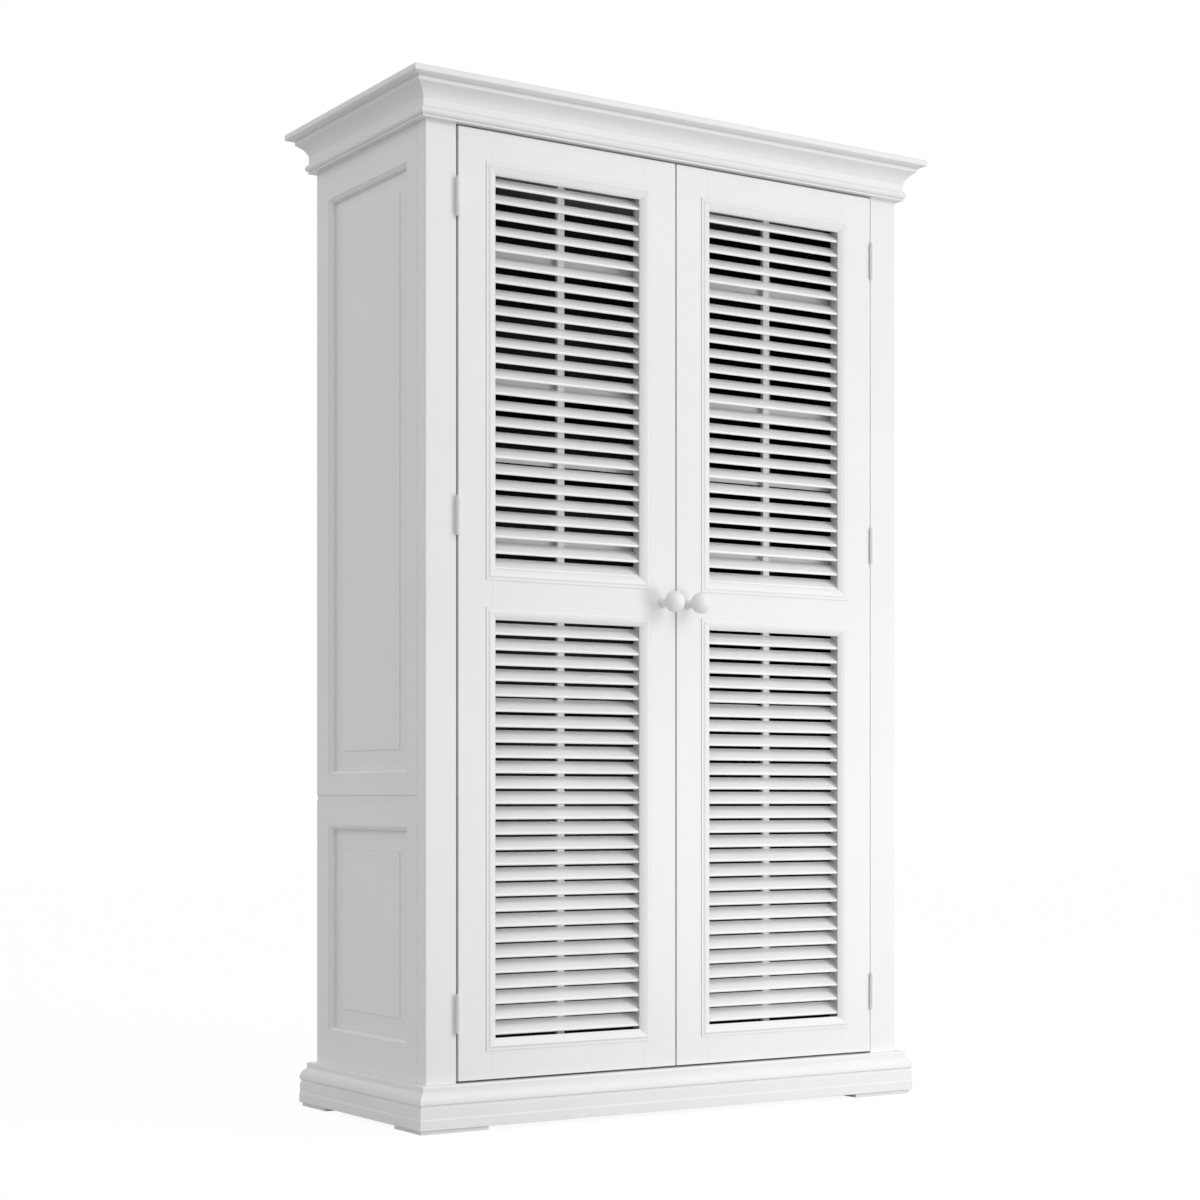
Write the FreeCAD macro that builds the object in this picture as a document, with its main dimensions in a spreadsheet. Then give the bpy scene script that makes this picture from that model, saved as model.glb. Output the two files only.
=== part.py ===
import FreeCAD, Part
import math
import os
import re
import Sketcher

# Louvred door cabinet: a framed and panelled carcass with two louvred doors.
# Frame: +Z up, the doors face -Y, the origin is on the floor under the middle
# of the outline, which the knobs reach in front and the crown everywhere else.
# All lengths are in millimetres, all angles in degrees.

DIMENSIONS = [
    # carcass
    ("body_width", 1173, "width over the two sides"),
    ("body_depth", 481, "depth from the face of the posts to the back"),
    ("foot_height", 8, "height of the corner feet"),
    ("foot_length", 150, "length of a foot along the front"),
    ("foot_width", 110, "length of a foot along the side"),
    ("foot_inset", 5, "foot set in from the plinth's face"),
    ("plinth_top", 92, "height of the plinth's upper edge"),
    ("plinth_reach", 28, "plinth's projection from the carcass"),
    ("opening_height", 1876.5, "height of the door opening"),
    ("crown_height", 87.5, "height of the crown moulding"),
    ("crown_reach", 51, "crown's projection from the carcass"),
    ("board_thickness", 20, "top, bottom and shelf boards"),
    ("post_width", 67, "front face of a corner post"),
    ("post_thickness", 36, "depth of a post's face part"),
    ("quirk_depth", 1, "V line on a post behind its face part"),
    ("side_thickness", 25, "thickness of the side frames"),
    ("front_stile_width", 43, "side frame, part of the post behind its face"),
    ("back_stile_width", 55, "side frame, back stile"),
    ("lower_panel_start", 164, "height of the lower side panel's opening"),
    ("lower_panel_height", 428, "opening of the lower side panel"),
    ("waist_rail_height", 107, "side frame, rail between the panels"),
    ("side_top_rail_height", 135, "side frame, top rail, part of it behind the crown"),
    ("waist_line_rise", 53, "waist line above the waist rail's lower edge"),
    ("waist_line_height", 11, "height of the sunk waist line"),
    ("waist_line_depth", 1.6, "depth of the sunk waist line"),
    # side panels
    ("panel_thickness", 7, "margin of a side panel"),
    ("panel_inset", 13, "panel margin below the frame's face"),
    ("groove_depth", 8, "panel grooves and stub tenons"),
    ("side_mould_width", 10, "moulding round a side panel"),
    ("side_mould_lip", 11, "moulding's inner edge below the frame's face"),
    ("bevel_start", 14, "opening's edge to the panel's bevel"),
    ("bevel_width", 33, "width of the panel's bevel"),
    ("bevel_rise", 2, "height of the bevel"),
    ("field_step", 1.2, "step from the bevel up to the field"),
    ("back_thickness", 8, "back panel"),
    ("back_inset", 4, "back panel in from the back edge"),
    # doors
    ("door_gap", 4, "gap round and between the doors"),
    ("door_proud", 3, "door's face in front of the posts' face"),
    ("door_thickness", 40, "thickness of the door frames"),
    ("stile_width", 78, "door stiles, part of it under the moulding"),
    ("top_rail_height", 76.5, "door top rail"),
    ("middle_rail_height", 86, "door middle rail"),
    ("bottom_rail_height", 72, "door bottom rail"),
    ("lower_louvre_height", 842, "opening of the lower louvres, between the rails"),
    ("tenon_thickness", 12, "tenons of the door rails"),
    ("tenon_length", 35, "tenons of the door rails"),
    ("tenon_shoulder", 15, "rail's edge to its tenon"),
    ("mould_width", 24, "moulding round the louvres"),
    ("mould_lap", 8, "part of it that hangs inside the opening"),
    ("mould_drop", 6, "depth of that part behind the door's face"),
    ("mould_height", 3.2, "moulding's height over the door's face"),
    ("mould_slope", 16, "width of the moulding's round slope to the louvres"),
    ("mould_sink", 4.8, "inner edge of that slope behind the door's face"),
    ("mould_round", 26, "radius of that slope"),
    ("mould_hollow", 9, "radius of the hollow between the crest and the outer edge"),
    ("mould_step", 1.5, "upright outer edge of the moulding"),
    # louvres
    ("upper_slats", 25, "number of slats in an upper opening"),
    ("lower_slats", 27, "number of slats in a lower opening"),
    ("upper_first", 19, "upper opening's lower edge to the middle of its lowest slat"),
    ("upper_last", 17, "upper opening's upper edge to the middle of its highest slat"),
    ("lower_first", 26, "lower opening's lower edge to the middle of its lowest slat"),
    ("lower_last", 24, "lower opening's upper edge to the middle of its highest slat"),
    ("slat_width", 40, "slat across its section"),
    ("slat_thickness", 5.5, "slat thickness"),
    ("slat_tilt", 36, "slat's slope, its front edge low"),
    ("slat_gap", 0.5, "gap between the slats and the moulding"),
    ("slat_edge_run", 2, "length of a slat's rounded edge"),
    ("slat_edge", 3.2, "radius of the slat's rounded edges"),
    ("slat_housing", 6, "slat's end inside the stile"),
    ("slat_clearance", 0.15, "play of a slat in its housing"),
    ("brace_width", 16, "upright brace behind the slats"),
    ("brace_notch", 4.4, "brace let into the slats' back edges"),
    ("brace_depth", 9, "brace, front to back"),
    # knobs
    ("knob_reach", 62, "knob's projection from the door's face"),
    ("knob_setback", 30.5, "knob's axis from the door's meeting edge"),
    ("knob_radius", 22, "largest radius of the knob"),
    ("knob_neck", 7.5, "radius of the knob's neck"),
    ("knob_foot", 11, "radius of the knob's foot"),
    ("spigot_radius", 5, "spigot turned on the knob"),
    ("spigot_length", 24, "spigot glued into the stile"),
    ("spigot_clearance", 0.1, "play of the spigot in its hole"),
    # hinges
    ("hinge_low", 228, "middle of the lowest hinge"),
    ("hinge_middle", 1203, "middle of the second hinge"),
    ("hinge_high", 1826, "middle of the highest hinge"),
    ("hinge_length", 76, "length of a butt hinge"),
    ("knuckle_radius", 4.5, "outside radius of the knuckles"),
    ("knuckle_gap", 0.3, "play between knuckles, and to the wood"),
    ("leaf_thickness", 1.3, "thickness of a leaf"),
    ("leaf_depth", 31, "leaf behind the door's face"),
    ("pin_radius", 2.2, "hinge pin"),
    ("pin_clearance", 0.05, "running play of the pin"),
    ("pin_head_radius", 3.6, "button ends of the pin"),
    ("pin_head_height", 1.2, "button ends of the pin"),
    ("screw_radius", 1.9, "hinge screw shank"),
    ("screw_length", 22, "hinge screw"),
    ("screw_head_radius", 3.4, "hinge screw head"),
    ("screw_head_height", 0.9, "countersunk depth in a leaf"),
    ("screw_play", 0.02, "clearance round a screw"),
    # catches
    ("catch_length", 46, "magnetic catch along the head rail"),
    ("catch_depth", 16, "magnetic catch, front to back"),
    ("catch_height", 14, "magnetic catch below the head rail"),
    ("strike_length", 36, "strike plate"),
    ("strike_height", 12, "strike plate"),
    ("strike_thickness", 1.5, "strike plate"),
    ("catch_setback", 60, "catch's middle from the meeting edge"),
    ("catch_play", 0.3, "gap between a catch and its strike"),
    # shelves
    ("shelf_setback", 10, "shelf's front edge behind the doors"),
    ("shelf_play", 1.5, "gap at a shelf's ends"),
    ("shelf_one", 690, "top of the lowest shelf"),
    ("shelf_two", 850, "top of the second shelf"),
    ("shelf_three", 1176, "top of the third shelf"),
    ("shelf_four", 1342, "top of the fourth shelf"),
    ("shelf_five", 1491, "top of the fifth shelf"),
    ("shelf_six", 1745, "top of the highest shelf"),
    ("shelf_pin_radius", 2.5, "shelf pin"),
    ("shelf_pin_reach", 9, "shelf pin under the shelf"),
    ("shelf_pin_depth", 10, "shelf pin in its hole"),
    ("hole_spacing", 32, "spare pin holes above and below a shelf"),
]

LAYOUT = [
    ("half_width", "body_width / 2"),
    ("front_face", "(door_proud + knob_reach - crown_reach - body_depth) / 2"),
    ("door_face", "front_face - door_proud"),
    ("back_edge", "front_face + body_depth"),
    ("opening_top", "plinth_top + opening_height"),
    ("carcass_top", "opening_top + crown_height"),
    ("frame_top", "carcass_top - board_thickness"),
    ("post_height", "frame_top - foot_height"),
    ("inner_width", "body_width - 2 * side_thickness"),
    ("opening_width", "body_width - 2 * post_width"),
    ("front_stile_end", "post_thickness + front_stile_width"),
    ("panel_length", "body_depth - front_stile_end - back_stile_width"),
    ("panel_back", "panel_inset + panel_thickness"),
    ("waist_rail_start", "lower_panel_start + lower_panel_height"),
    ("upper_panel_start", "waist_rail_start + waist_rail_height"),
    ("side_top_rail_start", "frame_top - side_top_rail_height"),
    ("upper_panel_height", "side_top_rail_start - upper_panel_start"),
    ("back_face", "body_depth - back_inset - back_thickness"),
    ("door_width", "(opening_width - 3 * door_gap) / 2"),
    ("door_height", "opening_height - 2 * door_gap"),
    ("door_start", "plinth_top + door_gap"),
    ("rail_length", "door_width - 2 * stile_width"),
    ("middle_rail_start", "bottom_rail_height + lower_louvre_height"),
    ("upper_louvre_start", "middle_rail_start + middle_rail_height"),
    ("top_rail_start", "door_height - top_rail_height"),
    ("upper_louvre_height", "top_rail_start - upper_louvre_start"),
    ("upper_pitch", "(upper_louvre_height - upper_first - upper_last) / (upper_slats - 1)"),
    ("lower_pitch", "(lower_louvre_height - lower_first - lower_last) / (lower_slats - 1)"),
    ("slat_nose", "slat_width / 2 - slat_edge_run - sqrt(slat_edge ^ 2 - (slat_thickness / 2) ^ 2)"),
    ("slat_front", "mould_drop + slat_gap"),
    ("slat_middle", "slat_front + slat_nose * cos(slat_tilt) + slat_edge"),
    ("brace_face", "2 * slat_middle - slat_front - brace_notch"),
    ("knob_height", "door_start + middle_rail_start + middle_rail_height / 2"),
    ("hinge_offset", "(opening_width - door_gap) / 2"),
    ("hinge_seat", "knuckle_radius + knuckle_gap"),
    ("leaf_face", "door_gap / 2 - leaf_thickness"),
    ("door_back", "door_thickness - door_proud"),
    ("shelf_depth", "back_face - door_back - shelf_setback - 1"),
]

# pin holes run at fixed steps from each shelf's pins, so the shelf can move
SHELVES = ["shelf_one", "shelf_two", "shelf_three", "shelf_four", "shelf_five", "shelf_six"]
HINGES = ["hinge_low", "hinge_middle", "hinge_high"]

# each screw of a hinge leaf: share of the hinge's length above its middle, and
# share of the leaf's depth behind the door's face
SCREW_PATTERN = [(-0.33, 0.42), (0, 0.68), (0.33, 0.42)]

doc = FreeCAD.newDocument("louvred_cabinet")
nodes = []


# ---------------------------------------------------------------- the sheets

def make_sheet(name, rows):
    """A spreadsheet with one aliased value in each row of column B."""
    new_sheet = doc.addObject("Spreadsheet::Sheet", name)
    for row, (alias, text, note) in enumerate(rows, start=1):
        new_sheet.set("A%d" % row, note)
        new_sheet.set("B%d" % row, text)
        new_sheet.setAlias("B%d" % row, alias)
    doc.recompute()
    return new_sheet


def expand(text):
    """Put the sheet's name before each alias in an expression."""
    def with_sheet(match):
        word = match.group(0)
        return SHEET_OF[word] + "." + word if word in SHEET_OF else word
    return re.sub(r"[a-z_]+", with_sheet, text)


SHEET_OF = {alias: "dimensions" for alias, value, note in DIMENSIONS}
SHEET_OF.update({alias: "layout" for alias, formula in LAYOUT})
dimensions = make_sheet("dimensions", [(a, str(v), n) for a, v, n in DIMENSIONS])
make_sheet("layout", [(a, "=" + expand(f), "") for a, f in LAYOUT])


def size(text):
    """The value of an expression of aliases, as a number."""
    result = dimensions.evalExpression(expand(text))
    return float(getattr(result, "Value", result))


# ---------------------------------------------------------------- the pieces

def bind(thing, prop, text):
    thing.setExpression(prop, expand(text))


def place(thing, x="0", y="0", z="0", rotation=None):
    """Set a piece's place, with each coordinate bound to the sheets."""
    thing.Placement = FreeCAD.Placement(
        FreeCAD.Vector(size(x), size(y), size(z)), rotation or FreeCAD.Rotation())
    for axis, text in (("x", x), ("y", y), ("z", z)):
        bind(thing, ".Placement.Base." + axis, text)
    return thing


def keep(thing):
    """Count a finished piece among those that are written out."""
    nodes.append(thing)
    return thing


def turn(axis, angle):
    return FreeCAD.Rotation(FreeCAD.Vector(*axis), angle)


def new_object(kind, label):
    thing = doc.addObject(kind, label)
    thing.Label = label
    return thing


def board(label, sizes, corner):
    """A plain board: its three sizes, and where its low corner lies."""
    box = new_object("Part::Box", label)
    for prop, text in zip(("Length", "Width", "Height"), sizes):
        bind(box, prop, text)
    return keep(place(box, *corner))


def copy_of(thing, name, x, y, z, rotation=None):
    link = new_object("App::Link", name)
    link.setLink(thing)
    return place(link, x, y, z, rotation)


def group(label, members):
    """Alike pieces that share one node, each still its own solid."""
    compound = new_object("Part::Compound", label)
    compound.Links = members
    return keep(compound)


# ------------------------------------------------------- sketches, features

def new_sketch(body, name, role, offset="0"):
    """A sketch on one of the body's own origin planes, moved along its normal."""
    sketch = body.newObject("Sketcher::SketchObject", body.Label + "_" + name)
    plane = [f for f in body.Origin.OriginFeatures if f.Role == role][0]
    sketch.AttachmentSupport = [(plane, "")]
    sketch.MapMode = "FlatFace"
    bind(sketch, ".AttachmentOffset.Base.z", offset)
    return sketch


def bulge(start, end, radius, side):
    """An arc from start to end, bulging to the left (1) or to the right (-1)."""
    chord = end - start
    left = FreeCAD.Vector(-chord.y, chord.x, 0).normalize()
    drop = math.sqrt(radius ** 2 - chord.Length ** 2 / 4)
    centre = (start + end) / 2 - left * side * drop
    ends = (end, start) if side > 0 else (start, end)
    first, last = [math.atan2(p.y - centre.y, p.x - centre.x) for p in ends]
    if last < first:
        last += 2 * math.pi
    whole = Part.Circle(centre, FreeCAD.Vector(0, 0, 1), radius)
    return Part.ArcOfCircle(whole, first, last)


def fix_point(sketch, edge, vertex, x, y):
    """Bind a vertex to its distances from the sketch's origin."""
    for kind, text in (("DistanceX", x), ("DistanceY", y)):
        index = sketch.addConstraint(
            Sketcher.Constraint(kind, -1, 1, edge, vertex, size(text)))
        bind(sketch, "Constraints[%d]" % index, text)


def fix_radius(sketch, edge, radius):
    index = sketch.addConstraint(Sketcher.Constraint("Radius", edge, size(radius)))
    bind(sketch, "Constraints[%d]" % index, radius)


def outline(sketch, corners):
    """A closed outline through corners, each bound to the sheets.

    A corner is its x and y, and where the edge that starts there is round
    also the radius and the side, left or right of the edge, of its bulge.
    """
    points = [FreeCAD.Vector(size(corner[0]), size(corner[1]), 0) for corner in corners]
    first, count = sketch.GeometryCount, len(corners)
    start_vertex = []
    for i, corner in enumerate(corners):
        start, end = points[i], points[(i + 1) % count]
        side = 1 if corner[-1] == "left" else -1
        start_vertex.append(2 if side > 0 else 1)
        curve = Part.LineSegment(start, end)
        if len(corner) > 2:
            curve = bulge(start, end, size(corner[2]), side)
        sketch.addGeometry(curve, False)
    for i, corner in enumerate(corners):
        following = (i + 1) % count
        sketch.addConstraint(Sketcher.Constraint(
            "Coincident", first + i, 3 - start_vertex[i],
            first + following, start_vertex[following]))
        fix_point(sketch, first + i, start_vertex[i], corner[0], corner[1])
        if len(corner) > 2:
            fix_radius(sketch, first + i, corner[2])


def circle(sketch, x, y, radius):
    centre = FreeCAD.Vector(size(x), size(y), 0)
    whole = Part.Circle(centre, FreeCAD.Vector(0, 0, 1), size(radius))
    edge = sketch.addGeometry(whole, False)
    fix_point(sketch, edge, 3, x, y)
    fix_radius(sketch, edge, radius)


def rectangle(sketch, left, low, right, high):
    outline(sketch, [(left, low), (right, low), (right, high), (left, high)])


def draw(sketch, shapes):
    """Draw circles (x, y, radius) and rectangles (left, low, right, high)."""
    for shape in shapes:
        if len(shape) == 3:
            circle(sketch, *shape)
        else:
            rectangle(sketch, *shape)


def add_feature(kind, body, name, sketch, length, backwards):
    """A pad along the sketch's normal or a pocket against it, or backwards."""
    made = body.newObject("PartDesign::" + kind, body.Label + "_" + name)
    made.Profile = sketch
    made.Reversed = backwards
    bind(made, "Length", length)
    return made


def pad(body, sketch, length, backwards=False):
    return add_feature("Pad", body, sketch.Label[len(body.Label) + 1:] + "_pad",
                       sketch, length, backwards)


def pocket(body, sketch, depth, backwards=False):
    return add_feature("Pocket", body, sketch.Label[len(body.Label) + 1:] + "_pocket",
                       sketch, depth, backwards)


def side_pocket(body, name, high_side, width, depth, shapes):
    """A pocket sunk into the body's low or high X face."""
    sketch = new_sketch(body, name, "YZ_Plane", width if high_side else "0")
    draw(sketch, shapes)
    return pocket(body, sketch, depth, not high_side)


def padded(label, plane, shapes, length, backwards=False, offset="0"):
    """A body of one pad on one sketch, left at its own origin."""
    body = new_object("PartDesign::Body", label)
    sketch = new_sketch(body, "outline", plane, offset)
    draw(sketch, shapes)
    pad(body, sketch, length, backwards)
    return body


def turned(label, plane, axis, corners):
    """A body turned about one axis of its sketch."""
    body = new_object("PartDesign::Body", label)
    sketch = new_sketch(body, "profile", plane)
    outline(sketch, corners)
    turning = body.newObject("PartDesign::Revolution", label + "_turning")
    turning.Profile = sketch
    turning.ReferenceAxis = (sketch, [axis])
    turning.Angle = 360
    return body


# -------------------------------------------------------- mitred mouldings

def mitred_board(label, corners, inner_length, reach, height):
    """A moulded board along X: profile in Y and Z, both ends mitred.

    Its flat back lies at Y = 0, where it is inner_length long.
    """
    body = new_object("PartDesign::Body", label)
    profile = new_sketch(body, "profile", "YZ_Plane")
    outline(profile, corners)
    full = "(%s + 2 * %s)" % (inner_length, reach)
    pad(body, profile, full)
    mitres = new_sketch(body, "mitres", "XY_Plane")
    outline(mitres, [("0", "0"), (reach, "0"), ("0", reach)])
    outline(mitres, [(full, "0"), (full, reach), ("%s - %s" % (full, reach), "0")])
    pocket(body, mitres, height, True)
    return body


def ring_of_boards(stem, corners, reach, height, z):
    """Four mitred boards round the carcass: front, back, left and right."""
    ring = [
        ("front", "body_width", "half_width + " + reach, "front_face", 180),
        ("back", "body_width", "-half_width - " + reach, "back_edge", 0),
        ("left", "body_depth", "-half_width", "front_face - " + reach, 90),
        ("right", "body_depth", "half_width", "back_edge + " + reach, -90),
    ]
    for side, length, x, y, angle in ring:
        body = mitred_board("%s_%s" % (stem, side), corners, length, reach, height)
        keep(place(body, x, y, z, turn((0, 0, 1), angle)))


def frame_of_strips(stem, wide, tall, width, height, reach, middle, facing):
    """Four copies of mitred strips round an opening of width by height.

    middle is the opening's middle point. facing is the angle about Z from a
    frame that faces -Y: 0, -90 to face -X or 90 to face +X.
    """
    across = {0: (1, 0), -90: (0, -1), 90: (0, 1)}[facing]
    ends = [
        (wide, "-(%s) / 2 - %s" % (width, reach), "(%s) / 2" % height),
        (tall, "-(%s) / 2" % width, "-(%s) / 2 - %s" % (height, reach)),
        (wide, "(%s) / 2 + %s" % (width, reach), "-(%s) / 2" % height),
        (tall, "(%s) / 2" % width, "(%s) / 2 + %s" % (height, reach)),
    ]
    copies = []
    for i, (strip, along, rise) in enumerate(ends):
        rotation = turn((0, 0, 1), facing) * turn((0, 1, 0), -90 * i) * turn((1, 0, 0), 90)
        copies.append(copy_of(
            strip, "%s_%d" % (stem, i + 1),
            "%s + (%d) * (%s)" % (middle[0], across[0], along),
            "%s + (%d) * (%s)" % (middle[1], across[1], along),
            "%s + %s" % (middle[2], rise), rotation))
    return copies


# -------------------------------------------------------- crown, plinth, feet

# each corner: offset and height, and for a round edge its radius and its side
PLINTH_OUTLINE = [
    ("0", "foot_height"), ("plinth_reach", "foot_height"),
    ("plinth_reach", "foot_height + 19"), ("plinth_reach - 1", "foot_height + 21"),
    ("plinth_reach - 1", "plinth_top - 43"), ("plinth_reach - 3", "plinth_top - 41.5"),
    ("plinth_reach - 3", "plinth_top - 38.5", "4.5", "left"),
    ("plinth_reach - 0.5", "plinth_top - 35"),
    ("plinth_reach - 0.5", "plinth_top - 32", "24", "right"),
    ("plinth_reach - 10", "plinth_top - 13"), ("plinth_reach - 12", "plinth_top - 12"),
    ("plinth_reach - 12", "plinth_top - 7", "9", "right"),
    ("plinth_reach - 13", "plinth_top"), ("0", "plinth_top"),
]
CROWN_OUTLINE = [
    ("0", "0"), ("14", "0"), ("14", "3"), ("13", "4", "8.25", "right"), ("13", "20"),
    ("13", "36", "45", "left"), ("crown_reach - 18", "crown_height - 27"),
    ("crown_reach - 16", "crown_height - 25.5"), ("crown_reach - 16", "crown_height - 17"),
    ("crown_reach - 7.5", "crown_height - 15.5", "10", "right"),
    ("crown_reach", "crown_height - 12.5"),
    ("crown_reach", "crown_height - 4", "4.5", "right"),
    ("crown_reach - 3", "crown_height"), ("0", "crown_height"),
]


def crown_and_plinth():
    ring_of_boards("plinth", PLINTH_OUTLINE, "plinth_reach", "plinth_top", "0")
    ring_of_boards("crown", CROWN_OUTLINE, "crown_reach", "crown_height", "opening_top")


def feet():
    """Four low blocks under the plinth's corners."""
    reach = "(plinth_reach - foot_inset)"
    rows = [("front_face - " + reach, "front_face - %s + foot_width" % reach),
            ("back_edge + %s - foot_width" % reach, "back_edge + " + reach)]
    columns = [("-half_width - " + reach, "-half_width - %s + foot_length" % reach),
               ("half_width + %s - foot_length" % reach, "half_width + " + reach)]
    plans = [(left, low, right, high) for left, right in columns for low, high in rows]
    keep(padded("corner_feet", "XY_Plane", plans, "foot_height"))


# -------------------------------------------------------------- side frames

def mirrored(corners, width):
    return [("%s - (%s)" % (width, x), y) for x, y in reversed(corners)]


def side_x(side, width):
    """Where a piece of this width starts to lie flush with the side."""
    return "-half_width" if side == "left" else "half_width - " + width


def waist_line(body, left, width, start, end, base):
    """The sunk line that runs along the side at the waist."""
    low = "waist_rail_start + waist_line_rise - (%s)" % base
    side_pocket(body, "waist_line", not left, width, "waist_line_depth",
                [(start, low, end, low + " + waist_line_height")])


def pin_height(shelf):
    """Height of the axis of a shelf's pins."""
    return "%s - board_thickness - shelf_pin_radius" % shelf


def pin_holes(y):
    """Holes for each shelf's pins, with a spare one above and one below."""
    return [(y, "%s + (%d) * hole_spacing - foot_height" % (pin_height(shelf), step),
             "shelf_pin_radius") for shelf in SHELVES for step in (-1, 0, 1)]


def screw_holes(body, high_side, width, base, behind):
    """Holes for the hinge screws, behind being the doors' face to this piece's face."""
    shapes = [("leaf_depth * %s - %s" % (share, behind),
               "%s + hinge_length * (%s) - %s" % (hinge, rise, base),
               "screw_radius + screw_play")
              for hinge in HINGES for rise, share in SCREW_PATTERN]
    side_pocket(body, "screw_holes", high_side, width, "screw_length - leaf_thickness", shapes)


def corner_post(side):
    """An L-shaped post: the face part, and the side frame's front stile."""
    left = side == "left"
    corners = [
        ("0", "0"), ("post_width", "0"), ("post_width", "post_thickness"),
        ("side_thickness", "post_thickness"), ("side_thickness", "front_stile_end"),
        ("panel_back", "front_stile_end"), ("panel_back", "front_stile_end - groove_depth"),
        ("panel_inset", "front_stile_end - groove_depth"), ("panel_inset", "front_stile_end"),
        ("0", "front_stile_end"), ("0", "post_thickness + quirk_depth"),
        ("quirk_depth", "post_thickness"), ("0", "post_thickness - quirk_depth"),
    ]
    body = new_object("PartDesign::Body", "corner_post_" + side)
    section = new_sketch(body, "section", "XY_Plane")
    outline(section, corners if left else mirrored(corners, "post_width"))
    pad(body, section, "post_height")
    waist_line(body, left, "post_width", "post_thickness", "front_stile_end", "foot_height")
    screw_holes(body, left, "post_width", "foot_height", "door_proud")
    inner_face = "side_thickness" if left else "post_width - side_thickness"
    holes = new_sketch(body, "pin_holes", "YZ_Plane", inner_face)
    draw(holes, pin_holes("front_stile_end - front_stile_width / 2"))
    pocket(body, holes, "shelf_pin_depth", not left)
    return keep(place(body, side_x(side, "post_width"), "front_face", "foot_height"))


def back_stile(side):
    """The side frame's back stile, grooved for the panels."""
    left = side == "left"
    corners = [
        ("0", "0"), ("panel_inset", "0"), ("panel_inset", "groove_depth"),
        ("panel_back", "groove_depth"), ("panel_back", "0"), ("side_thickness", "0"),
        ("side_thickness", "back_stile_width"), ("0", "back_stile_width"),
    ]
    body = new_object("PartDesign::Body", "side_back_stile_" + side)
    section = new_sketch(body, "section", "XY_Plane")
    outline(section, corners if left else mirrored(corners, "side_thickness"))
    pad(body, section, "post_height")
    waist_line(body, left, "side_thickness", "0", "back_stile_width", "foot_height")
    side_pocket(body, "pin_holes", left, "side_thickness", "shelf_pin_depth",
                pin_holes("back_stile_width / 2"))
    return keep(place(body, side_x(side, "side_thickness"), "back_edge - back_stile_width",
                      "foot_height"))


def side_rail(name, side, low, high, groove_low, groove_high):
    """A rail of the side frame, with stub tenons in the stiles' grooves."""
    left = side == "left"
    body = new_object("PartDesign::Body", "side_%s_rail_%s" % (name, side))
    height = "(%s) - (%s)" % (high, low)
    below = "groove_depth" if groove_low else "0"
    above = height + " - groove_depth" if groove_high else height
    corners = [("0", "0")]
    if groove_low:
        corners += [("panel_inset", "0"), ("panel_inset", below), ("panel_back", below),
                    ("panel_back", "0")]
    corners += [("side_thickness", "0"), ("side_thickness", height)]
    if groove_high:
        corners += [("panel_back", height), ("panel_back", above), ("panel_inset", above),
                    ("panel_inset", height)]
    corners += [("0", height)]
    section = new_sketch(body, "section", "XZ_Plane")
    outline(section, corners if left else mirrored(corners, "side_thickness"))
    pad(body, section, "panel_length", True)
    near, far = "panel_inset", "panel_back"
    if not left:
        near, far = "side_thickness - panel_back", "side_thickness - panel_inset"
    tenons = new_sketch(body, "tenons", "XZ_Plane", "groove_depth")
    rectangle(tenons, near, below, far, above)
    pad(body, tenons, "panel_length + 2 * groove_depth", True)
    if name == "waist":
        waist_line(body, left, "side_thickness", "0", "panel_length", low)
    return keep(place(body, side_x(side, "side_thickness"), "front_face + front_stile_end", low))


def side_panel(name, side, low, height):
    """A raised and fielded panel, its margin in the frame's grooves."""
    body = new_object("PartDesign::Body", "side_%s_panel_%s" % (name, side))
    wide, tall = "panel_length + 2 * groove_depth", height + " + 2 * groove_depth"
    margin = new_sketch(body, "margin", "XY_Plane")
    rectangle(margin, "0", "0", wide, tall)
    pad(body, margin, "panel_thickness")

    def inset_sketch(sketch_name, inset, rise):
        edge = "groove_depth + " + inset
        sketch = new_sketch(body, sketch_name, "XY_Plane", "panel_thickness + " + rise)
        rectangle(sketch, edge, edge, "%s - (%s)" % (wide, edge), "%s - (%s)" % (tall, edge))
        return sketch

    bevel = body.newObject("PartDesign::AdditiveLoft", body.Label + "_bevel")
    bevel.Profile = inset_sketch("bevel_foot", "bevel_start", "0")
    bevel.Sections = [inset_sketch("bevel_head", "bevel_start + bevel_width", "bevel_rise")]
    bevel.Ruled = True
    pad(body, inset_sketch("field", "bevel_start + bevel_width + field_step", "bevel_rise"),
        "field_step")
    near = "front_face + front_stile_end - groove_depth"
    if side == "left":
        x, y, along = "panel_back - half_width", near + " + " + wide, -1
    else:
        x, y, along = "half_width - panel_back", near, 1
    outward = FreeCAD.Rotation(FreeCAD.Vector(0, along, 0), FreeCAD.Vector(0, 0, 1),
                               FreeCAD.Vector(along, 0, 0), "ZXY")
    return keep(place(body, x, y, low + " - groove_depth", outward))


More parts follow.
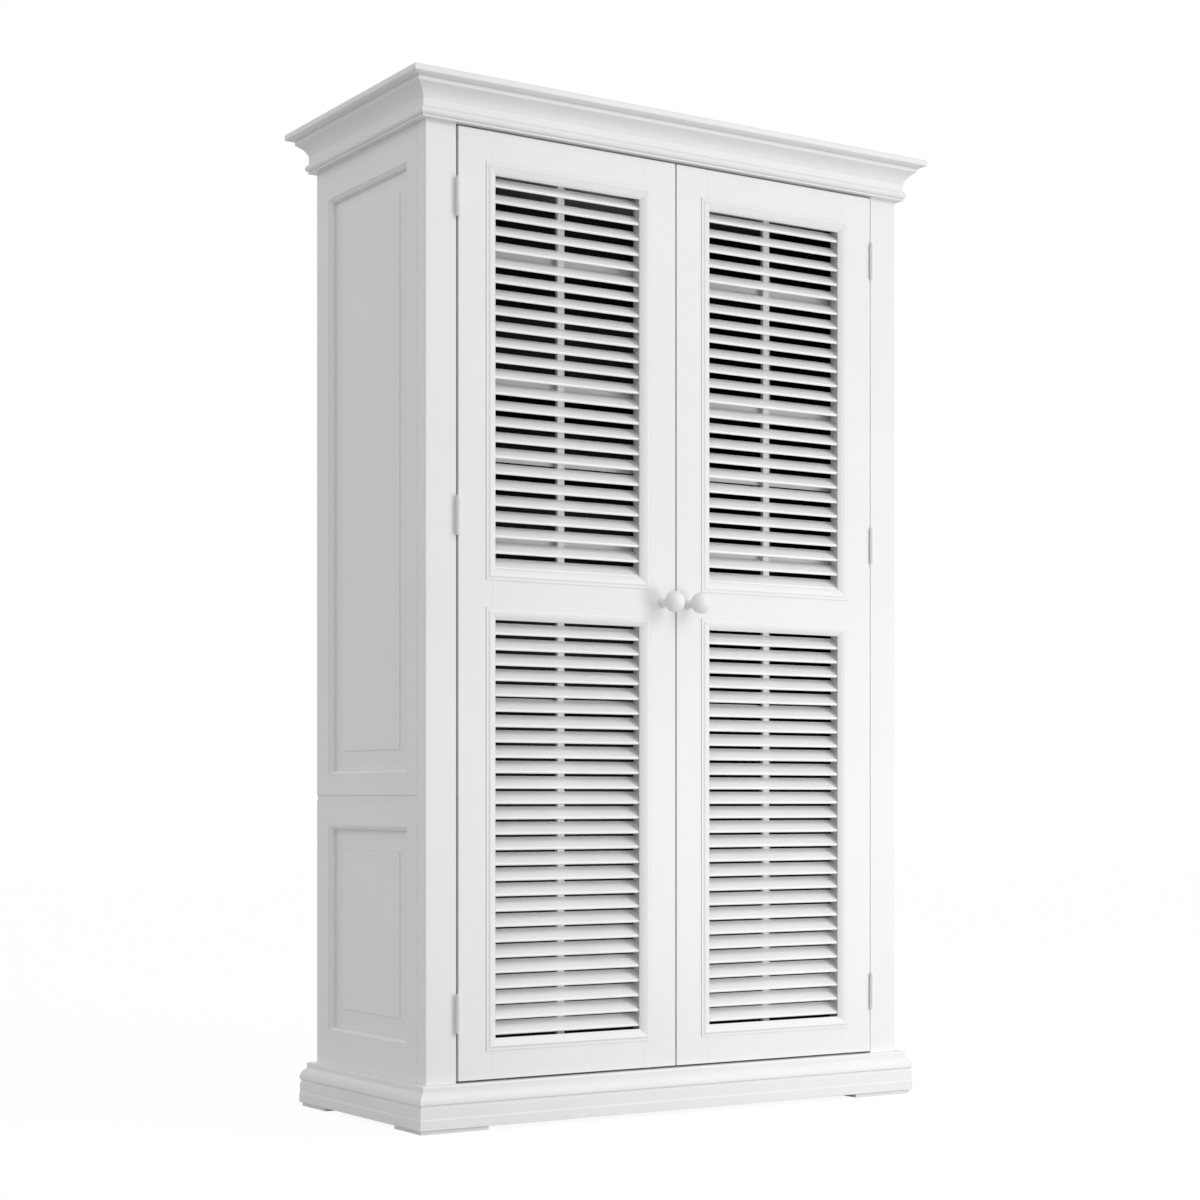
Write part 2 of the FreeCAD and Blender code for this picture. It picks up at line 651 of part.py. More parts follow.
def side_mouldings():
    """Mitred mouldings round the side panels, laid on their margins."""
    foot, crest = "panel_inset - side_mould_lip", "panel_inset - 1"
    corners = [("0", "0"), ("side_mould_width", "0"), ("side_mould_width", crest),
               ("side_mould_width - 2", crest, "12", "right"), ("2", foot + " + 1"),
               ("2", foot), ("0", foot)]
    panels = [("lower", "lower_panel_start", "lower_panel_height"),
              ("upper", "upper_panel_start", "upper_panel_height")]
    width = "panel_length - 2 * side_mould_width"
    heights = {name: "%s - 2 * side_mould_width" % height for name, low, height in panels}
    strips = {name: mitred_board("side_strip_" + name, corners, length,
                                 "side_mould_width", "panel_inset")
              for name, length in [("across", "(%s)" % width)]
              + [(name, "(%s)" % height) for name, height in heights.items()]}
    members = []
    for facing, x in ((-90, "panel_inset - half_width"), (90, "half_width - panel_inset")):
        for name, low, height in panels:
            middle = (x, "front_face + front_stile_end + panel_length / 2",
                      "%s + %s / 2" % (low, height))
            members += frame_of_strips("side_mould_%s_%s" % (name, "l" if facing < 0 else "r"),
                                       strips["across"], strips[name], width, heights[name],
                                       "side_mould_width", middle, facing)
    group("side_mouldings", members)


def side_frame(side):
    corner_post(side)
    back_stile(side)
    side_rail("bottom", side, "foot_height", "lower_panel_start", False, True)
    side_rail("waist", side, "waist_rail_start", "upper_panel_start", True, True)
    side_rail("top", side, "side_top_rail_start", "frame_top", True, False)
    side_panel("lower", side, "lower_panel_start", "lower_panel_height")
    side_panel("upper", side, "upper_panel_start", "upper_panel_height")


# ------------------------------------------------------------ inner carcass

def carcass_boards():
    """Head rail, top, ceiling, back and bottom."""
    inside = "-inner_width / 2"
    board("head_rail", ("opening_width", "post_thickness", "frame_top - opening_top"),
          ("-opening_width / 2", "front_face", "opening_top"))
    board("top_board", ("body_width", "body_depth", "board_thickness"),
          ("-half_width", "front_face", "frame_top"))
    board("ceiling_board", ("inner_width", "back_face - post_thickness", "board_thickness"),
          (inside, "front_face + post_thickness", "opening_top"))
    board("back_panel", ("inner_width", "back_thickness", "frame_top - plinth_top"),
          (inside, "front_face + back_face", "plinth_top"))
    body = new_object("PartDesign::Body", "bottom_board")
    notch = "(post_width - side_thickness)"
    plan = new_sketch(body, "plan", "XY_Plane")
    outline(plan, [
        (notch, "0"), ("inner_width - " + notch, "0"),
        ("inner_width - " + notch, "post_thickness"), ("inner_width", "post_thickness"),
        ("inner_width", "body_depth"), ("0", "body_depth"), ("0", "post_thickness"),
        (notch, "post_thickness")])
    pad(body, plan, "board_thickness")
    keep(place(body, inside, "front_face", "plinth_top - board_thickness"))


def shelves():
    """Loose shelves, each on four pins in the sides."""
    half = "(inner_width / 2 - shelf_play)"
    fronts = [("-" + half, "%s - board_thickness" % shelf, half, shelf) for shelf in SHELVES]
    boards = padded("shelves", "XZ_Plane", fronts, "shelf_depth", True)
    keep(place(boards, "0", "front_face + door_back + shelf_setback", "0"))
    rows = ("front_face + front_stile_end - front_stile_width / 2",
            "back_edge - back_stile_width / 2")
    ends = [(y, pin_height(shelf), "shelf_pin_radius") for shelf in SHELVES for y in rows]
    body = new_object("PartDesign::Body", "shelf_pins")
    for name, sign in (("left", "-"), ("right", "")):
        sketch = new_sketch(body, name, "YZ_Plane",
                            sign + "(inner_width / 2 - shelf_pin_reach)")
        draw(sketch, ends)
        pad(body, sketch, "shelf_pin_reach + shelf_pin_depth", name == "left")
    keep(body)


# -------------------------------------------------------------------- doors

RAILS = {
    "bottom": ("0", "bottom_rail_height"),
    "middle": ("middle_rail_start", "middle_rail_height"),
    "top": ("top_rail_start", "top_rail_height"),
}
LOUVRES = {
    "lower": ("bottom_rail_height", "lower_louvre_height"),
    "upper": ("upper_louvre_start", "upper_louvre_height"),
}


def slat_outline(sketch, centre_z, play, rounded=False):
    """Section of a slat in Y and Z, grown by play, its front edge low."""
    shoulder = "slat_edge_run" if rounded else "0"
    corners = []
    for along, across in ((-1, -1), (1, -1), (1, 1), (-1, 1)):
        run = "(%d) * (slat_width / 2 - %s + %s)" % (along, shoulder, play)
        rise = "(%d) * (slat_thickness / 2 + %s)" % (across, play)
        corners.append((
            "slat_middle + %s * cos(slat_tilt) - %s * sin(slat_tilt)" % (run, rise),
            "%s + %s * sin(slat_tilt) + %s * cos(slat_tilt)" % (centre_z, run, rise)))
    if rounded:
        corners[1] += ("slat_edge", "right")
        corners[3] += ("slat_edge", "right")
    outline(sketch, corners)


def repeat(body, originals, direction, opening):
    """The features of an opening's lowest slat, repeated for those above it."""
    pitch, count = opening + "_pitch", opening + "_slats"
    row = body.newObject("PartDesign::LinearPattern", originals[-1].Label + "_row")
    row.Originals = originals
    row.Direction = (direction, ["V_Axis"])
    bind(row, "Length", "%s * (%s - 1)" % (pitch, count))
    bind(row, "Occurrences", count)
    body.Tip = row
    return row


def door_stile(door, name, x, inner_is_high):
    """A door stile with housings for the slats and mortises for the rails."""
    body = new_object("PartDesign::Body", "door_%s_%s_stile" % (door, name))
    section = new_sketch(body, "section", "XY_Plane")
    rectangle(section, "0", "0", "stile_width", "door_thickness")
    pad(body, section, "door_height")
    near = "(door_thickness - tenon_thickness) / 2"
    side_pocket(body, "mortises", inner_is_high, "stile_width", "tenon_length",
                [(near, low + " + tenon_shoulder", near + " + tenon_thickness",
                  "%s + %s - tenon_shoulder" % (low, height))
                 for low, height in RAILS.values()])
    if name == "outer":
        screw_holes(body, not inner_is_high, "stile_width", "door_start", "0")
    else:
        hole = new_sketch(body, "knob_hole", "XZ_Plane")
        from_edge = "knob_setback" if door == "right" else "stile_width - knob_setback"
        circle(hole, from_edge, "knob_height - door_start", "spigot_radius + spigot_clearance")
        pocket(body, hole, "spigot_length + spigot_clearance")
    for opening, (low, height) in LOUVRES.items():
        housing = new_sketch(body, opening + "_housing", "YZ_Plane",
                             "stile_width" if inner_is_high else "0")
        slat_outline(housing, "%s + %s_first" % (low, opening), "slat_clearance")
        first = pocket(body, housing, "slat_housing", not inner_is_high)
        repeat(body, [first], housing, opening)
    return keep(place(body, x, "door_face", "door_start"))


def door_rail(door, name, x):
    """A door rail with a tenon at each end."""
    low, height = RAILS[name]
    body = new_object("PartDesign::Body", "door_%s_%s_rail" % (door, name))
    section = new_sketch(body, "section", "YZ_Plane")
    rectangle(section, "0", "0", "door_thickness", height)
    pad(body, section, "rail_length")
    near = "(door_thickness - tenon_thickness) / 2"
    tenons = new_sketch(body, "tenons", "YZ_Plane", "-tenon_length")
    rectangle(tenons, near, "tenon_shoulder", near + " + tenon_thickness",
              height + " - tenon_shoulder")
    pad(body, tenons, "rail_length + 2 * tenon_length")
    return keep(place(body, x, "door_face", "door_start + " + low))


def slats(door, opening, left_edge):
    """The slats of one opening, notched behind for their upright brace."""
    low, height = LOUVRES[opening]
    body = new_object("PartDesign::Body", "door_%s_%s_slats" % (door, opening))
    section = new_sketch(body, "section", "YZ_Plane")
    slat_outline(section, opening + "_first", "0", True)
    blank = pad(body, section, "rail_length + 2 * (slat_housing - slat_clearance)")
    middle = "rail_length / 2 + slat_housing - slat_clearance"
    notch = new_sketch(body, "notch", "XY_Plane", "-slat_width")
    rectangle(notch, middle + " - brace_width / 2", "brace_face",
              middle + " + brace_width / 2", "door_thickness + slat_width")
    cut = pocket(body, notch, "2 * slat_width + %s_first" % opening, True)
    row = repeat(body, [blank, cut], section, opening)
    row.TransformMode = "Whole shape"
    x = left_edge + " + stile_width - slat_housing + slat_clearance"
    return keep(place(body, x, "door_face", "door_start + " + low))


def slat_braces(door, left_edge):
    """An upright brace behind each row of slats, let into their back edges."""
    middle = left_edge + " + door_width / 2"
    fronts = [(middle + " - brace_width / 2", "door_start + " + low,
               middle + " + brace_width / 2", "door_start + %s + %s" % (low, height))
              for low, height in LOUVRES.values()]
    body = padded("door_%s_slat_braces" % door, "XZ_Plane", fronts, "brace_depth", True)
    return keep(place(body, "0", "door_face + brace_face", "0"))


# the part of an opening that shows inside its moulding
SIGHT = "(%s - 2 * mould_lap)"


def mould_strips():
    """The three lengths of moulding that go round the louvres.

    Each laps over the door's face and hangs inside the opening's edge. Its
    plane Z = 0 is the back of that hanging part.
    """
    crest = "mould_drop + mould_height"
    corners = [("0", "0"), ("mould_lap", "0"), ("mould_lap", "mould_drop"),
               ("mould_width", "mould_drop"),
               ("mould_width", "mould_drop + mould_step", "mould_hollow", "left"),
               ("mould_slope", crest, "mould_round", "right"),
               ("0", "mould_drop - mould_sink")]
    lengths = {"across": "rail_length", "lower": "lower_louvre_height",
               "upper": "upper_louvre_height"}
    return {name: mitred_board("door_strip_" + name, corners, SIGHT % length,
                               "mould_width", crest)
            for name, length in lengths.items()}


def door_mouldings(door, left_edge, strips):
    """Mitred mouldings laid on the door's face round both openings."""
    members = []
    for opening, (low, height) in LOUVRES.items():
        middle = (left_edge + " + door_width / 2", "door_face + mould_drop",
                  "door_start + %s + %s / 2" % (low, height))
        members += frame_of_strips("door_mould_%s_%s" % (door, opening), strips["across"],
                                   strips[opening], SIGHT % "rail_length", SIGHT % height,
                                   "mould_width", middle, 0)
    group("door_%s_mouldings" % door, members)


def knob(door, x):
    """A turned knob with its spigot, its axis along -Y."""
    head, foot = "spigot_length + knob_reach", "spigot_length"
    corners = [
        ("0", "0"), ("spigot_radius", "0"), ("spigot_radius", foot), ("knob_foot", foot),
        ("knob_foot", foot + " + 2.5", "5", "left"), ("knob_neck", foot + " + 8"),
        ("knob_neck", head + " - 30", "14", "left"), ("knob_radius - 2.5", head + " - 27"),
        ("knob_radius - 1.5", head + " - 25.5"), ("knob_radius - 1.5", head + " - 24"),
        ("knob_radius - 2.5", head + " - 23", "5", "right"),
        ("knob_radius", head + " - 20", "16", "right"),
        ("knob_radius * 0.77", head + " - 7", "24", "right"),
        ("knob_radius * 0.1", head), ("0", head),
    ]
    body = turned("door_%s_knob" % door, "XZ_Plane", "V_Axis", corners)
    return keep(place(body, x, "door_face + spigot_length", "knob_height",
                      turn((1, 0, 0), 90)))


def door(name, strips):
    left_edge = "-opening_width / 2 + door_gap" if name == "left" else "door_gap / 2"
    stiles = ["outer", "meeting"] if name == "left" else ["meeting", "outer"]
    starts = [left_edge, left_edge + " + door_width - stile_width"]
    for stile, x, inner_is_high in zip(stiles, starts, (True, False)):
        door_stile(name, stile, x, inner_is_high)
    for rail in RAILS:
        door_rail(name, rail, left_edge + " + stile_width")
    for opening in LOUVRES:
        slats(name, opening, left_edge)
    slat_braces(name, left_edge)
    door_mouldings(name, left_edge, strips)
    knob(name, "door_gap / 2 + knob_setback" if name == "right"
         else "-door_gap / 2 - knob_setback")


# -------------------------------------------------------- hinges and catches

def hinge_leaf(label, knuckles):
    """A leaf on the +X side of the hinge's axis, with some of five knuckles."""
    body = new_object("PartDesign::Body", label)
    half = "hinge_length / 2"
    spans = []
    for i in knuckles:
        low = "-%s + %d * hinge_length / 5" % (half, i) + (" + knuckle_gap / 2" if i else "")
        high = "-%s + %d * hinge_length / 5" % (half, i + 1)
        spans.append((low, high + (" - knuckle_gap / 2" if i < 4 else "")))
    plate = new_sketch(body, "plate", "YZ_Plane", "leaf_face")
    rectangle(plate, "hinge_seat + knuckle_gap", "-" + half, "hinge_seat + leaf_depth", half)
    pad(body, plate, "leaf_thickness")
    webs = new_sketch(body, "webs", "YZ_Plane", "leaf_face")
    draw(webs, [("pin_radius + 0.8", low, "hinge_seat + 2 * knuckle_gap", high)
                for low, high in spans])
    pad(body, webs, "leaf_thickness")
    barrel = new_sketch(body, "barrel", "XZ_Plane")
    draw(barrel, [("pin_radius + pin_clearance", low, "knuckle_radius", high)
                  for low, high in spans])
    rolled = body.newObject("PartDesign::Revolution", label + "_knuckles")
    rolled.Profile = barrel
    rolled.ReferenceAxis = (barrel, ["V_Axis"])
    rolled.Angle = 360
    places = [("hinge_seat + leaf_depth * %s" % share, "hinge_length * (%s)" % rise)
              for rise, share in SCREW_PATTERN]
    through = new_sketch(body, "screw_holes", "YZ_Plane", "leaf_face")
    draw(through, [(y, z, "screw_radius + screw_play") for y, z in places])
    pocket(body, through, "leaf_thickness", True)
    sinks = new_sketch(body, "countersinks", "YZ_Plane", "leaf_face")
    draw(sinks, [(y, z, "screw_head_radius + screw_play") for y, z in places])
    cone = pocket(body, sinks, "screw_head_height", True)
    bind(cone, "TaperAngle",
         "-atan((screw_head_radius - screw_radius) / screw_head_height)")
    return body


def hinge_pin(label):
    """A pin on the hinge's axis with a button at each end."""
    half, tip = "hinge_length / 2", "hinge_length / 2 + pin_head_height"
    return turned(label, "XZ_Plane", "V_Axis", [
        ("0", "-(%s)" % tip), ("pin_head_radius", "-(%s)" % tip),
        ("pin_head_radius", "-" + half), ("pin_radius", "-" + half), ("pin_radius", half),
        ("pin_head_radius", half), ("pin_head_radius", tip), ("0", tip)])


def wood_screw(label):
    """A countersunk screw along +X, its head's face at the origin."""
    return turned(label, "XY_Plane", "H_Axis", [
        ("0", "0"), ("0", "screw_head_radius"), ("screw_head_height", "screw_radius"),
        ("screw_length - 3 * screw_radius", "screw_radius"), ("screw_length", "0")])


def hinges():
    """Three butt hinges to a door, each of two leaves, a pin and six screws."""
    frame_leaf = hinge_leaf("hinge_frame_leaf", (0, 2, 4))
    door_leaf = hinge_leaf("hinge_door_leaf", (1, 3))
    pin, screw = hinge_pin("hinge_pin"), wood_screw("hinge_screw")
    half_turn = turn((0, 1, 0), 180)
    frame_parts, frame_screws = [], []
    axis_y = "door_face - hinge_seat"
    for door_name, axis_x, door_side in (("left", "-hinge_offset", 1),
                                         ("right", "hinge_offset", -1)):
        leaves, screws = [], []
        for hinge in HINGES:
            stem = "%s_%s" % (hinge, door_name)
            for part, leaf, side, into, screws_into in (
                    ("door", door_leaf, door_side, leaves, screws),
                    ("frame", frame_leaf, -door_side, frame_parts, frame_screws)):
                rotation = FreeCAD.Rotation() if side > 0 else half_turn
                name = "%s_%s" % (stem, part)
                into.append(copy_of(leaf, name + "_leaf", axis_x, axis_y, hinge, rotation))
                for i, (rise, share) in enumerate(SCREW_PATTERN):
                    screws_into.append(copy_of(
                        screw, "%s_screw_%d" % (name, i + 1),
                        "%s + (%d) * leaf_face" % (axis_x, side),
                        "door_face + leaf_depth * %s" % share,
                        "%s + hinge_length * (%s)" % (hinge, rise), rotation))
            frame_parts.append(copy_of(pin, stem + "_pin", axis_x, axis_y, hinge))
        group("door_%s_hinge_leaves" % door_name, leaves)
        group("door_%s_hinge_screws" % door_name, screws)
    group("frame_hinges", frame_parts)
    group("frame_hinge_screws", frame_screws)


def catches():
    """Magnetic catches under the ceiling, and their strikes on the doors."""
    strike_y = "door_face + door_thickness"
    fronts = []
    for name, sign in (("left", "-"), ("right", "")):
        x = sign + "catch_setback"
        fronts.append((x + " - catch_length / 2", "-catch_height",
                       x + " + catch_length / 2", "0"))
        board("door_%s_strike" % name, ("strike_length", "strike_thickness", "strike_height"),
              (x + " - strike_length / 2", strike_y,
               "opening_top - (catch_height + strike_height) / 2"))
    body = padded("magnetic_catches", "XZ_Plane", fronts, "catch_depth", True)
    keep(place(body, "0", strike_y + " + strike_thickness + catch_play", "opening_top"))


for side in ("left", "right"):
    side_frame(side)
side_mouldings()
carcass_boards()
crown_and_plinth()
feet()
shelves()
door_strips = mould_strips()
for side in ("left", "right"):
    door(side, door_strips)
hinges()
catches()
doc.recompute()

for thing in doc.Objects:
    if "Invalid" in thing.State or "Error" in thing.State:
        raise RuntimeError("%s did not recompute: %s" % (thing.Name, thing.State))
for thing in nodes:
    if thing.Shape.isNull() or not thing.Shape.isValid():
        raise RuntimeError(thing.Label + " has no valid shape")

os.makedirs("parts", exist_ok=True)
for thing in nodes:
    thing.Shape.exportStep("parts/" + thing.Label + ".step")
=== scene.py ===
import math

import bpy
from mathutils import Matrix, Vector


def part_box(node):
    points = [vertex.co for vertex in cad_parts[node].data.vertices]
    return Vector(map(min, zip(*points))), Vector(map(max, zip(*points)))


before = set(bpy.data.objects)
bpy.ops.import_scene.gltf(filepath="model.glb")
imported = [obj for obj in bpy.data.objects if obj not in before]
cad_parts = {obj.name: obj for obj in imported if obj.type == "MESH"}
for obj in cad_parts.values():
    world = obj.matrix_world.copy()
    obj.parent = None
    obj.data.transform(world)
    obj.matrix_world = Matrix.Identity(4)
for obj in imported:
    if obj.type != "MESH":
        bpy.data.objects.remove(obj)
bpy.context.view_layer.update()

# A tall white cupboard with two louvred doors. The solids of the frame carry
# its shapes and its joinery; this script adds the finishes, the floor, the
# light and the camera. All lengths are in metres.

MM = 0.001

# share of the timber's grain in the relief of the paint, next to the brush marks
GRAIN_SHARE = 0.35
# distance from a face to the bound of its painted shade, so that the bound lies in no face
FACE_MARGIN = 1 * MM
SIDE_MARGIN = 0.5 * MM

# studio: a floor just under the feet, so that no two faces lie in one plane. Seen
# directly, its paper glows for most of its tone and is lit for the rest, which
# keeps the cupboard's shadow
FLOOR_SIZE = 30
FLOOR_DROP = 0.5 * MM
PAPER_GLOW = 1.1
PAPER_SHARE = 0.85
# strength of the even light from all around
ROOM_LIGHT = 0.73
# name, place, point it looks at, width, height, watts
LAMPS = (
    ("key", (2.6, -4.8, 3.8), (0, 0, 1.0), 2.4, 2.4, 74),
    ("near", (1.3, -2.3, 0.5), (0, 0, 0.7), 1.2, 0.9, 16.5),
)

# camera: its place from the foot of the left front post, its turn, its lens and
# how far the frame is raised, as a share of its width
CAMERA_FROM_POST = (-2.1662, -4.0042, 0.6452)
CAMERA_TURN = 32.667
FOCAL_LENGTH, SENSOR_WIDTH = 70.245, 36
FRAME_RAISE = 0.16707
CLIP_START, CLIP_END = 0.1, 60


# ------------------------------------------------------------------ colours

def from_hex(code):
    """An sRGB hex value as linear colour."""
    parts = [int(code[i:i + 2], 16) / 255 for i in (1, 3, 5)]
    return tuple(p / 12.92 if p <= 0.04045 else ((p + 0.055) / 1.055) ** 2.4
                 for p in parts) + (1.0,)


# ---------------------------------------------------------------- materials

def fill_node(tree, node, settings=None, links=None):
    """Set a node's properties or inputs and link sources into it.

    stops, for a colour ramp, are its (position, colour) pairs.
    """
    for name, value in (settings or {}).items():
        if name == "stops":
            while len(node.color_ramp.elements) < len(value):
                node.color_ramp.elements.new(0.5)
            for element, (position, colour) in zip(node.color_ramp.elements, value):
                element.position = position
                element.color = colour
        elif isinstance(name, int) or name in node.inputs:
            node.inputs[name].default_value = value
        else:
            setattr(node, name, value)
    for name, source in (links or {}).items():
        tree.links.new(source, node.inputs[name])


def add_node(tree, kind, settings=None, links=None):
    """One new node with its settings and links."""
    node = tree.nodes.new(kind)
    fill_node(tree, node, settings, links)
    return node


def first_node(tree, kind):
    """The first node of a tree that has a type."""
    return next(node for node in tree.nodes if node.type == kind)


def new_material(name):
    """A material with its principled shader and the object's coordinates."""
    material = bpy.data.materials.new(name)
    material.use_nodes = True
    tree = material.node_tree
    tree.nodes.clear()
    place = add_node(tree, "ShaderNodeTexCoord").outputs["Object"]
    shader = add_node(tree, "ShaderNodeBsdfPrincipled")
    add_node(tree, "ShaderNodeOutputMaterial", None, {"Surface": shader.outputs["BSDF"]})
    return material, tree, place, shader


def along_board(along, width, length):
    """Scale for marks of a width and length that run with axis 0, 1 or 2."""
    scale = [1 / width] * 3
    scale[along] = 1 / length
    return scale


def eggshell_paint(name, along, tint="#ededec", shade="#ebebea"):
    """Water-borne eggshell enamel brushed on primed timber.

    The eye sees a white with hardly any colour in it, a soft broken sheen,
    faint brush marks that run with the board, and a little of the timber's
    grain below them. along is the axis of the boards: 0, 1 or 2.
    """
    material, tree, place, shader = new_material(name)
    # bristles leave ridges about 1.2 by 60 mm, drawn twice that so that they show
    brushed = add_node(tree, "ShaderNodeMapping",
                       {"Scale": along_board(along, 2.5 * MM, 120 * MM)},
                       {"Vector": place})
    bristle = add_node(tree, "ShaderNodeTexNoise",
                       {"Scale": 1.0, "Detail": 3.0, "Roughness": 0.55},
                       {"Vector": brushed.outputs["Vector"]})
    # timber grain telegraphing through the coats: 9 mm bands, 350 mm long
    grained = add_node(tree, "ShaderNodeMapping",
                       {"Scale": along_board(along, 9 * MM, 350 * MM)},
                       {"Vector": place})
    figure = add_node(tree, "ShaderNodeTexNoise",
                      {"Scale": 1.0, "Detail": 5.0, "Roughness": 0.6, "Distortion": 0.4},
                      {"Vector": grained.outputs["Vector"]})
    # slow change from one load of the brush to the next, about 180 mm across
    patch = add_node(tree, "ShaderNodeTexNoise",
                     {"Scale": 1 / (180 * MM), "Detail": 2.0}, {"Vector": place})
    colour = add_node(tree, "ShaderNodeValToRGB",
                      {"stops": [(0.3, from_hex(shade)), (0.7, from_hex(tint))]},
                      {"Fac": patch.outputs["Fac"]})
    # painted shade: the colour darkens in corners and creases, where the occlusion within 6
    # mm is high
    corner = add_node(tree, "ShaderNodeAmbientOcclusion",
                      {"samples": 4, "only_local": True, "Distance": 6 * MM})
    painted_corner_shade = add_node(tree, "ShaderNodeValToRGB",
                    {"stops": [(0.35, from_hex("#dcdbd8")), (0.8, from_hex("#ffffff"))]},
                    {"Fac": corner.outputs["AO"]})
    # the painted corner shade darkens the paint colour at half strength
    # Mix has one pair of inputs for each data type: 6 and 7 are the colours
    colour_with_corner_shade = add_node(tree, "ShaderNodeMix",
                       {"data_type": "RGBA", "blend_type": "MULTIPLY", "Factor": 0.5},
                       {6: colour.outputs["Color"], 7: painted_corner_shade.outputs["Color"]})
    rough = add_node(tree, "ShaderNodeMapRange",
                     {"From Min": 0.3, "From Max": 0.7, "To Min": 0.36, "To Max": 0.46},
                     {"Value": bristle.outputs["Fac"]})
    height = add_node(tree, "ShaderNodeMath",
                      {"operation": "MULTIPLY_ADD", 1: GRAIN_SHARE},
                      {0: figure.outputs["Fac"], 2: bristle.outputs["Fac"]})
    # arrises are eased by sandpaper before painting: about 1 mm round
    eased = add_node(tree, "ShaderNodeBevel", {"samples": 4, "Radius": 1.1 * MM})
    bump = add_node(tree, "ShaderNodeBump", {"Strength": 0.12, "Distance": 0.25 * MM},
                    {"Height": height.outputs[0], "Normal": eased.outputs["Normal"]})
    fill_node(tree, shader, {"IOR": 1.48},
              {"Base Color": colour_with_corner_shade.outputs[2],
               "Roughness": rough.outputs["Result"],
               "Normal": bump.outputs["Normal"]})
    return material


def enamelled_steel(name):
    """Steel pressings sprayed with a white enamel: smoother, a bit glossier."""
    material, tree, place, shader = new_material(name)
    # spray leaves an even orange peel of about 1.5 mm
    peel = add_node(tree, "ShaderNodeTexNoise", {"Scale": 1 / (1.5 * MM), "Detail": 1.0},
                    {"Vector": place})
    wear = add_node(tree, "ShaderNodeTexNoise", {"Scale": 1 / (14 * MM), "Detail": 4.0},
                    {"Vector": place})
    colour = add_node(tree, "ShaderNodeValToRGB",
                      {"stops": [(0.3, from_hex("#ececeb")), (0.65, from_hex("#f3f3f2"))]},
                      {"Fac": wear.outputs["Fac"]})
    bump = add_node(tree, "ShaderNodeBump", {"Strength": 0.1, "Distance": 0.1 * MM},
                    {"Height": peel.outputs["Fac"]})
    rough = add_node(tree, "ShaderNodeMapRange", {"To Min": 0.28, "To Max": 0.38},
                     {"Value": wear.outputs["Fac"]})
    fill_node(tree, shader, {"IOR": 1.5},
              {"Base Color": colour.outputs["Color"],
               "Roughness": rough.outputs["Result"],
               "Normal": bump.outputs["Normal"]})
    return material


def zinc_plated_steel(name):
    """Zinc plate on mild steel: bluish grey, a fine cloudy spangle, a low shine."""
    material, tree, place, shader = new_material(name)
    cloud = add_node(tree, "ShaderNodeTexNoise", {"Scale": 1 / (2 * MM), "Detail": 6.0},
                     {"Vector": place})
    colour = add_node(tree, "ShaderNodeValToRGB",
                      {"stops": [(0.35, from_hex("#a9adb0")), (0.65, from_hex("#c3c7c9"))]},
                      {"Fac": cloud.outputs["Fac"]})
    rough = add_node(tree, "ShaderNodeMapRange", {"To Min": 0.28, "To Max": 0.42},
                     {"Value": cloud.outputs["Fac"]})
    bump = add_node(tree, "ShaderNodeBump", {"Strength": 0.08, "Distance": 0.05 * MM},
                    {"Height": cloud.outputs["Fac"]})
    fill_node(tree, shader, {"Metallic": 1.0},
              {"Base Color": colour.outputs["Color"],
               "Roughness": rough.outputs["Result"],
               "Normal": bump.outputs["Normal"]})
    return material


def moulded_abs(name):
    """White ABS as it leaves a sparked mould: flat, slightly grey, very fine grained."""
    material, tree, place, shader = new_material(name)
    # spark texture is about 0.1 mm; drawn at 0.4 mm so that it shows
    spark = add_node(tree, "ShaderNodeTexNoise", {"Scale": 1 / (0.4 * MM), "Detail": 2.0},
                     {"Vector": place})
    colour = add_node(tree, "ShaderNodeValToRGB",
                      {"stops": [(0.3, from_hex("#e2e2de")), (0.7, from_hex("#eaeae6"))]},
                      {"Fac": spark.outputs["Fac"]})
    bump = add_node(tree, "ShaderNodeBump", {"Strength": 0.15, "Distance": 0.05 * MM},
                    {"Height": spark.outputs["Fac"]})
    fill_node(tree, shader, {"Roughness": 0.5, "IOR": 1.54},
              {"Base Color": colour.outputs["Color"], "Normal": bump.outputs["Normal"]})
    return material


